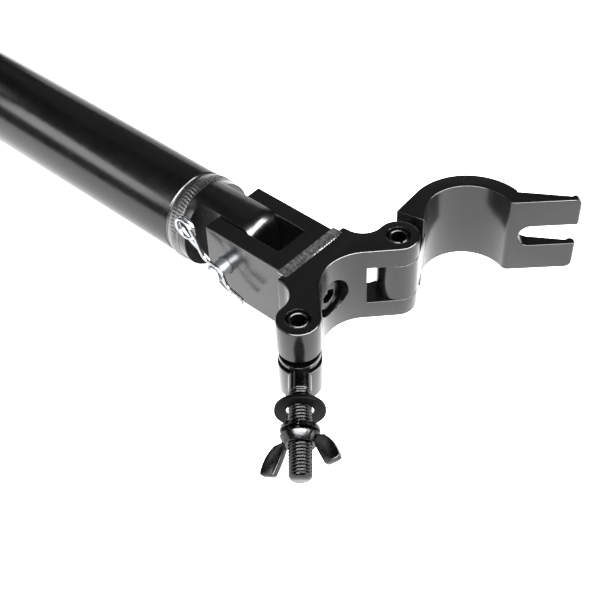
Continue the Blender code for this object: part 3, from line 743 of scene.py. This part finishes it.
def smooth_path(points, per):
    """A Catmull-Rom curve through the points, per steps to each span."""
    padded = [2 * points[0] - points[1], *points, 2 * points[-1] - points[-2]]
    path = []
    for a, b, c, d in zip(padded, padded[1:], padded[2:], padded[3:]):
        for i in range(per):
            t = i / per
            path.append(0.5 * (2 * b + (c - a) * t + (2 * a - 5 * b + 4 * c - d) * t ** 2
                               + (3 * b - a - 3 * c + d) * t ** 3))
    path.append(points[-1].copy())
    return path


def wire(path, radius, sides):
    """A round wire along a path, its ends slightly rounded."""
    tip_reach, tip_size = 0.35, 0.6
    start = (path[1] - path[0]).normalized()
    end = (path[-1] - path[-2]).normalized()
    stations = [(path[0] - start * radius * tip_reach, tip_size),
                *((point, 1.0) for point in path),
                (path[-1] + end * radius * tip_reach, tip_size)]
    turns = [2 * pi * k / sides for k in range(sides)]
    up = start.orthogonal().normalized()
    shape = bmesh.new()
    rings = []
    for i, (point, size) in enumerate(stations):
        before = stations[max(i - 1, 0)][0]
        after = stations[min(i + 1, len(stations) - 1)][0]
        tangent = (after - before).normalized()
        up = (up - tangent * up.dot(tangent)).normalized()
        side = tangent.cross(up)
        rings.append([shape.verts.new(point + radius * size * (up * cos(turn) + side * sin(turn)))
                      for turn in turns])
    join_rings(shape, rings)
    return shape


def r_clip(mat):
    shape = wire(smooth_path(clip_route(), 5), CLIP_WIRE, 20)
    place("spring_clip", shape, HEAD, mat, "pin", "r_clip", "zinc_plate")


# ---- the clamp ----------------------------------------------------------------------------
def mirrored(points):
    return [(x, -y) for x, y in reversed(points)]


def flank():
    """The saddle's -Y flank, from its back corner to the front of the boss."""
    slope = radians(-FLANK_SLOPE)
    along = Vector((cos(slope), sin(slope)))
    outward = Vector((along.y, -along.x))
    corner_centre = Vector((SADDLE_BACK + BACK_CORNER, BACK_CORNER - BACK_HALF))
    start = corner_centre + outward * BACK_CORNER
    hinge = Vector((HINGE_X, -HINGE_Y))
    offset = start - hinge + outward * FLANK_FILLET
    reach = offset.dot(along)
    run = -reach - sqrt(reach ** 2 - offset.length_squared + (BOSS_RADIUS + FLANK_FILLET) ** 2)
    fillet = start + along * run + outward * FLANK_FILLET
    to_hinge = hinge - fillet
    leave = degrees(atan2(-outward.y, -outward.x))
    meet = degrees(atan2(to_hinge.y, to_hinge.x))
    points = arc(corner_centre, BACK_CORNER, 180, 270 - FLANK_SLOPE, 6)
    points += arc(fillet, FLANK_FILLET, leave, meet, 14)
    points += arc(hinge, BOSS_RADIUS, meet - 180, 45, 60)[1:]
    return points


def fork_cut(side, half_height):
    """The slot of a forked boss, which opens at 45 degrees between the pipe and the flank."""
    reach = 0.030
    shape = box((-FORK_DEPTH, -reach, CLAMP_Z - half_height), (reach, reach, CLAMP_Z + half_height))
    shape.transform(Matrix.Translation((HINGE_X, side * HINGE_Y, 0.0))
                    @ Matrix.Rotation(radians(45 * side), 4, "Z"))
    return shape


def pin_hole(at):
    """A roll pin's hole, countersunk a little at both faces."""
    wide = ROLL_PIN_RADIUS + 0.0007
    narrow = ROLL_PIN_RADIUS + 0.0002
    sink = 0.0006
    reach = CLAMP_HALF + OVERCUT
    profile = [(-reach, 0.0), (-reach, wide + OVERCUT), (-CLAMP_HALF, wide),
               (-CLAMP_HALF + sink, narrow), (CLAMP_HALF - sink, narrow), (CLAMP_HALF, wide),
               (reach, wide + OVERCUT), (reach, 0.0)]
    return turned(profile, 64, "Z", at=at)


def saddle(mat):
    lower = flank()
    outline = lower + arc((PIPE_X, 0.0), PIPE_RADIUS, 225, 135, 44) + mirrored(lower)
    shape = soften(prism(outline, CLAMP_Z - CLAMP_HALF, CLAMP_Z + CLAMP_HALF), 0.0012)
    top = CLAMP_Z + CLAMP_HALF
    over = OVERCUT / 2
    chamfer = [(SADDLE_BACK - over, top - SADDLE_CHAMFER - over),
               (SADDLE_BACK + SADDLE_CHAMFER + over, top + over), (SADDLE_BACK - over, top + over)]
    floor = SCREW_FACE - SCREW_HEAD - GAP
    at = (0.0, 0.0, CLAMP_Z)
    tools = [(prism(chamfer, -TOP_WELD_HALF - GAP, TOP_WELD_HALF + GAP, "Y"), "DIFFERENCE"),
             (fork_cut(1, KNUCKLE_HALF + GAP), "DIFFERENCE"),
             (fork_cut(-1, BOLT_FORK_HALF), "DIFFERENCE"),
             (pin_hole((HINGE_X, HINGE_Y, CLAMP_Z)), "DIFFERENCE"),
             (pin_hole((HINGE_X, -HINGE_Y, CLAMP_Z)), "DIFFERENCE"),
             (rod(COUNTERBORE, floor, PIPE_X, 96, at=at), "DIFFERENCE"),
             (rod(SCREW_RADIUS + GAP, SADDLE_BACK - OVERCUT, floor + OVERCUT, 48, at=at),
              "DIFFERENCE")]
    body = place("saddle_skin", cut(shape, tools), HEAD, mat, "head", "saddle", "black_coat")
    round_edges(body, 0.0004, angle=38.0, clamp=False)


def saddle_screw(mat):
    under = SCREW_FACE - SCREW_HEAD
    tip = under - SCREW_LENGTH
    edge = 0.0009
    rim = arc((SCREW_FACE - edge, SCREW_HEAD_RADIUS - edge), edge, 90, 0, 6)
    shank = SCREW_RADIUS - SKIN
    profile = [(tip, 0.0), (tip, SCREW_RADIUS - SCREW_TIP_CHAMFER),
               (tip + SCREW_TIP_CHAMFER, shank), (under, shank), (under, SCREW_HEAD_RADIUS),
               *rim, (SCREW_FACE, 0.0)]
    at = (0.0, 0.0, CLAMP_Z)
    corner = SCREW_HEX / 2 / cos(pi / 6)
    drill = 0.001
    floor = SCREW_FACE - SCREW_SOCKET
    socket = turned([(floor - drill, 0.0), (floor, corner), (SCREW_FACE + OVERCUT, corner),
                     (SCREW_FACE + OVERCUT, 0.0)], 6, at=at)
    screw = place("socket_screw", cut(turned(profile, 96, at=at), [(socket, "DIFFERENCE")]),
                  HEAD, mat, "head", "saddle_screw", "black_hardware")
    round_edges(screw, 0.0002, 2)


def roll_pin(mat, name, node, hinge, slot_at):
    """A slotted spring pin with rolled-in ends."""
    half = asin(ROLL_PIN_SLOT / 2 / ROLL_PIN_RADIUS)
    steps = 72
    shape = bmesh.new()
    reach = CLAMP_HALF - ROLL_PIN_RECESS
    lead = 0.0012
    section = [(-reach, ROLL_PIN_BORE), (-reach, ROLL_PIN_RADIUS - 0.0007),
               (-reach + lead, ROLL_PIN_RADIUS), (reach - lead, ROLL_PIN_RADIUS),
               (reach - 0.0005, ROLL_PIN_RADIUS - 0.0003),
               (reach, ROLL_PIN_RADIUS - 0.0009), (reach, ROLL_PIN_BORE + 0.0005),
               (reach - 0.0004, ROLL_PIN_BORE)]
    rings = []
    for i in range(steps + 1):
        angle = radians(slot_at) + half + (2 * pi - 2 * half) * i / steps
        rings.append([shape.verts.new((r * cos(angle), r * sin(angle), z)) for z, r in section])
    join_rings(shape, rings)
    place(name, shape, Matrix.Translation(hinge), mat, "head", node, "black_hardware", 30.0)


def jaw(mat):
    """The hinged half: a round knuckle, a thick arc round the pipe and two tines."""
    pipe = Vector((PIPE_X - HINGE_X, -HINGE_Y))
    turn = acos((BOSS_RADIUS - JAW_OUTER) / pipe.length)
    tangent = degrees(atan2(pipe.y, pipe.x) + turn)
    normal = Vector((cos(radians(tangent)), sin(radians(tangent))))
    reach = Vector((cos(radians(JAW_REACH)), sin(radians(JAW_REACH))))
    across = Vector((-reach.y, reach.x))
    step = reach * JAW_STEP
    outer = step + across * ((BOSS_RADIUS - step.dot(normal)) / across.dot(normal))
    back = (step - pipe).dot(across)
    inner = step - across * (back - sqrt(back ** 2 - (step - pipe).length_squared
                                         + PIPE_RADIUS ** 2))
    inner_angle = degrees(atan2(inner.y - pipe.y, inner.x - pipe.x))
    root_angle = degrees(atan2(JAW_OUTER_END[1] - pipe.y, JAW_OUTER_END[0] - pipe.x))
    # the fillet touches the tines' inner face and, from outside, the pipe's circle
    lead = TINE_FACE + TINE_FILLET - pipe.x
    drop = sqrt((PIPE_RADIUS + TINE_FILLET) ** 2 - lead ** 2)
    face_angle = -degrees(atan2(drop, lead))
    fillet = arc((pipe.x + lead, pipe.y - drop), TINE_FILLET, 180, 180 + face_angle, 12)
    body = [tuple(outer), *arc(pipe, JAW_OUTER, tangent, root_angle, 48), *TINE_BACK,
            (TINE_FACE + TINE_CHAMFER, TINE_END_Y), (TINE_FACE, TINE_END_Y + TINE_CHAMFER), *fillet,
            *arc(pipe, PIPE_RADIUS, face_angle, inner_angle, 60)[1:]]
    shape = soften(prism(body, -CLAMP_HALF, CLAMP_HALF), 0.0010)
    slot = arc((JAW_SLOT_END, 0.0), JAW_SLOT_HALF, 90, -90, 32)
    past = TINE_END_Y - OVERCUT
    slot += [(past, -JAW_SLOT_HALF), (past, JAW_SLOT_HALF)]
    low, high = TINE_FACE - 2 * OVERCUT, JAW_OUTER_END[0] + 2 * OVERCUT
    tools = [(prism(slot, low, high, "X"), "DIFFERENCE")]
    for side in (-1, 1):
        edge = side * CLAMP_HALF
        centre = (TINE_END_Y + TINE_CORNER, edge - side * TINE_CORNER)
        corner = arc(centre, TINE_CORNER, 90 * side, 180 * side, 14)
        corner += [(past, centre[1]), (past, edge + side * OVERCUT),
                   (centre[0], edge + side * OVERCUT)]
        tools.append((prism(corner, low, high, "X"), "DIFFERENCE"))
    overlap = reach * 0.003
    knuckle = [*arc((0.0, 0.0), BOSS_RADIUS, tangent, KNUCKLE_END, 60), tuple(inner),
               tuple(inner + overlap), tuple(outer + overlap)]
    tools.append((prism(knuckle, -KNUCKLE_HALF, KNUCKLE_HALF), "UNION"))
    bore = CLAMP_HALF + 0.005
    tools.append((rod(ROLL_PIN_RADIUS + GAP, -bore, bore, 64, "Z"), "DIFFERENCE"))
    piece = place("jaw_skin", cut(shape, tools), JAW_PLACE, mat, "jaw", "jaw", "black_coat")
    round_edges(piece, 0.0004, angle=38.0, clamp=False)


# ---- the swing bolt -----------------------------------------------------------------------
def thread(start, end, root, crest, pitch, columns):
    """A right-handed helical screw surface with a run-in at the start and a chamfered end."""
    per = 10
    flat, flank = 0.07, 0.36        # half the crest's flat and one flank, as shares of the pitch
    profile = []
    for k in range(per):
        share = k / per
        lift = min(1.0, max(0.0, (abs(share - 0.5) - flat) / flank))
        profile.append(root + (crest - root) * (1 - lift))
    rows = int((end - start) / pitch * per) + 2 * per
    chamfer = 0.0012
    shape = bmesh.new()
    grid = []
    for j in range(columns):
        angle = 2 * pi * j / columns
        column = []
        for k in range(rows):
            x = start - pitch + pitch * (k / per + j / columns)
            held = min(max(x, start), end)
            radius = profile[k % per]
            run_in = min(1.0, (held - start) / (1.5 * pitch))
            radius = radius * run_in + crest * (1 - run_in)
            radius = min(radius, crest - chamfer + (end - held))
            column.append(shape.verts.new((held, radius * cos(angle), radius * sin(angle))))
        grid.append(column)
    for j in range(columns):
        following = grid[(j + 1) % columns]
        shift = per if j == columns - 1 else 0
        for k in range(rows - 1 - shift):
            a = grid[j][k + shift]
            b = grid[j][k + 1 + shift]
            shape.faces.new((a, b, following[k + 1], following[k]))
    bmesh.ops.remove_doubles(shape, verts=shape.verts[:], dist=1e-7)
    return shape


def bolt_eye(mat):
    """The bolt's flat eye and tang, rounded at the rims, joined to the plain end of the shank."""
    edge = 0.0005
    rim = EYE_RADIUS - edge
    bevel = 0.0003
    overlap = 0.001
    section = [(-EYE_HALF, EYE_BORE + bevel), *arc((edge - EYE_HALF, rim), edge, 180, 90, 4),
               *arc((EYE_HALF - edge, rim), edge, 90, 0, 4), (EYE_HALF, EYE_BORE + bevel),
               (EYE_HALF - bevel, EYE_BORE), (bevel - EYE_HALF, EYE_BORE)]
    tang = box((EYE_BORE + overlap, -TANG_HALF, SKIN - EYE_HALF),
               (BOLT_NECK + overlap, TANG_HALF, EYE_HALF - SKIN))
    chamfer = 0.0006
    shank_end = THREAD_START + 2 * SKIN
    shank = [(BOLT_NECK, 0.0), (BOLT_NECK, THREAD_RADIUS - chamfer),
             (BOLT_NECK + chamfer, THREAD_RADIUS), (shank_end, THREAD_RADIUS), (shank_end, 0.0)]
    shape = cut(turned(section, 96, "Z", closed=True),
                [(tang, "UNION"), (turned(shank, 96), "UNION")])
    place("bolt_eye", shape, BOLT_PLACE, mat, "bolt", "swing_bolt", "black_hardware")


def bolt_thread(mat):
    shape = thread(THREAD_START, BOLT_TIP, THREAD_ROOT, THREAD_RADIUS, THREAD_PITCH, 64)
    bmesh.ops.holes_fill(shape, edges=[e for e in shape.edges if e.is_boundary], sides=0)
    place("bolt_thread", shape, BOLT_PLACE, mat, "bolt", "swing_bolt", "black_hardware", 50.0)


def flat_washer(mat):
    half = WASHER_THICK / 2
    edge = 0.0005
    under, over = 0.0002, 0.0003
    profile = [(-half, WASHER_HOLE + under), (-half, WASHER_RADIUS - edge / 2),
               (edge / 2 - half, WASHER_RADIUS),
               *arc((half - edge, WASHER_RADIUS - edge), edge, 90, 0, 5),
               (half, WASHER_HOLE + over), (half - over, WASHER_HOLE),
               (under - half, WASHER_HOLE)]
    lean = Matrix.Rotation(-radians(WASHER_LEAN), 4, "Y")
    turn = BOLT_PLACE @ Matrix.Translation((WASHER_AT, 0.0, -WASHER_SAG)) @ lean
    place("washer_flat", turned(profile, 128, closed=True), turn, mat,
          "washer", "flat_washer", "black_hardware", 30.0)


def spring_washer(mat):
    """One split turn of square wire, slightly sprung apart."""
    shape = bmesh.new()
    steps = 120
    gap_angle = radians(8)
    start = radians(100)
    edge = 0.0003
    rings = []
    for i in range(steps + 1):
        share = i / steps
        angle = start + (2 * pi - gap_angle) * share
        low = SPRING_AT + SPRING_RISE * share
        high = low + SPRING_THICK
        section = [(low, SPRING_HOLE + edge), (low, SPRING_RADIUS - edge),
                   (low + edge, SPRING_RADIUS), (high - edge, SPRING_RADIUS),
                   (high, SPRING_RADIUS - edge), (high, SPRING_HOLE + edge),
                   (high - edge, SPRING_HOLE), (low + edge, SPRING_HOLE)]
        rings.append([shape.verts.new((x, r * cos(angle), r * sin(angle))) for x, r in section])
    join_rings(shape, rings)
    place("washer_spring", shape, BOLT_PLACE, mat,
          "spring", "spring_washer", "black_hardware", 30.0)


def wing_outline():
    """One wing, as (along the bolt, out from it), starting inside the hub."""
    outer = [(0.0492, 0.0100), (0.0500, 0.0140), (0.0524, 0.0167), (0.0551, 0.0188),
             (0.0584, 0.0205), (0.0616, 0.0216)]
    tip = [(0.0631, 0.0218), (0.0643, 0.0206), (0.0655, 0.0154), (0.0652, 0.0138)]
    inner = [(0.0602, 0.0113), (0.0561, 0.0094), (0.0520, 0.0080)]
    return [(0.0484, 0.0075), *outer, *tip, *inner]


def wing_nut(mat):
    top = NUT_AT + NUT_HEIGHT
    chamfer, edge = 0.0006, 0.0003
    profile = [(NUT_AT, 0.0), (NUT_AT, NUT_BASE_RADIUS - chamfer),
               (NUT_AT + chamfer, NUT_BASE_RADIUS), (NUT_AT + 0.0009, NUT_BASE_RADIUS),
               (NUT_AT + 0.0013, NUT_BASE_RADIUS - edge), (top - edge, NUT_TOP_RADIUS + SKIN),
               (top, NUT_TOP_RADIUS - edge), (top, 0.0)]
    tools = []
    for side in (-1, 1):
        outline = [(x, side * y) for x, y in wing_outline()]
        wing = soften(prism(outline, -WING_HALF, WING_HALF), 0.0007)
        wing.transform(Matrix.Rotation(radians(NUT_TURN), 4, "X"))
        tools.append((wing, "UNION"))
    bore = rod(NUT_BORE, NUT_AT - OVERCUT, BOLT_TIP + 2 * OVERCUT, 64)
    tools.append((bore, "DIFFERENCE"))
    nut = place("nut_wing", cut(turned(profile, 96), tools), BOLT_PLACE, mat, "nut", "wing_nut",
                "black_hardware")
    round_edges(nut, 0.0005, 4, 32.0)


# ---- stage --------------------------------------------------------------------------------
def area_light(name, direction, wide, high, radiance):
    data = bpy.data.lights.new(name, "AREA")
    data.shape = "RECTANGLE"
    data.size = wide
    data.size_y = high
    data.energy = radiance * pi * wide * high
    light = link(name, data)
    out = Vector(direction).normalized()
    light.location = SOFTBOX_CENTRE + out * SOFTBOX_DISTANCE
    light.rotation_euler = out.to_track_quat("Z", "Y").to_euler()
    light.visible_diffuse = name not in GLINTS


def stage():
    shape = bmesh.new()
    bmesh.ops.create_circle(shape, cap_ends=True, radius=FLOOR_RADIUS, segments=64,
                            matrix=Matrix.Translation((*FLOOR_CENTRE, FLOOR_Z - SKIN)))
    floor = link("floor", to_mesh("floor", shape))
    floor.data.materials.append(floor_white("table_white"))
    for softbox in SOFTBOXES:
        area_light(*softbox)
    world = bpy.data.worlds.new("studio")    # white to the camera, a dark room to reflections
    bpy.context.scene.world = world
    world.use_nodes = True
    tree = world.node_tree
    backdrop = tree.nodes["Background"]
    path = tree.nodes.new("ShaderNodeLightPath")
    mix = tree.nodes.new("ShaderNodeMix")
    mix.data_type = "RGBA"
    mix.inputs["A"].default_value = DARK_ROOM
    mix.inputs["B"].default_value = WHITE
    tree.links.new(path.outputs["Is Camera Ray"], mix.inputs["Factor"])
    tree.links.new(mix.outputs["Result"], backdrop.inputs["Color"])


def camera():
    back = Vector((sin(radians(CAMERA_AZIMUTH)) * cos(radians(CAMERA_ELEVATION)),
                   -cos(radians(CAMERA_AZIMUTH)) * cos(radians(CAMERA_ELEVATION)),
                   sin(radians(CAMERA_ELEVATION))))
    right = (-back).cross(Vector((0.0, 0.0, 1.0))).normalized()
    up = right.cross(-back)
    roll = radians(CAMERA_ROLL)
    level = right * cos(roll) + up * sin(roll)
    rise = up * cos(roll) - right * sin(roll)
    data = bpy.data.cameras.new("photo_camera")
    data.lens = CAMERA_LENS
    data.sensor_width = CAMERA_SENSOR
    data.clip_start = 0.01
    data.clip_end = 50.0
    eye = link("photo_camera", data)
    turn = Matrix((level, rise, back)).transposed().to_4x4()
    eye.matrix_world = Matrix.Translation(CAMERA_AT) @ turn
    bpy.context.scene.camera = eye


def build():
    coat = powder_coat("black_powder_coat")
    bead = weld_coat("coated_weld")
    hardware = black_hardware("black_plating")
    dull = dull_black("black_oxide")
    zinc = zinc_plate("bright_zinc")
    arm_tube(coat)
    tube_end_cap(cap_plastic("moulded_black"))
    tongue_plug(powder_coat("black_powder_coat_plug", rough=(0.19, 0.26)))
    tube_weld(bead)
    clevis_block(coat)
    # the block welds are much paler: a thinner coat, with painted sheen for the light their ripples
    # catch
    block_welds(weld_coat("thin_weld_coat_painted_sheen", (0.060, 0.060, 0.061), (0.320, 0.320, 0.323)))
    clevis_pin(zinc_plate("satin_zinc", (0.40, 0.42, 0.44), (0.52, 0.54, 0.56), (0.34, 0.44)))
    r_clip(zinc)
    saddle(coat)
    saddle_screw(hardware)
    spring_steel = black_hardware("dark_spring_steel", 0.024, 0.036, (0.24, 0.34))
    roll_pin(spring_steel, "roll_pin_jaw", "jaw_hinge_pin", JAW_HINGE, -33)
    roll_pin(spring_steel, "roll_pin_bolt", "bolt_hinge_pin", BOLT_HINGE, 42)
    jaw(coat)
    bolt_eye(hardware)
    bolt_thread(hardware)
    flat_washer(dull)
    spring_washer(hardware)
    wing_nut(hardware)


camera()
build()
stage()
bpy.context.scene.view_settings.view_transform = "Standard"
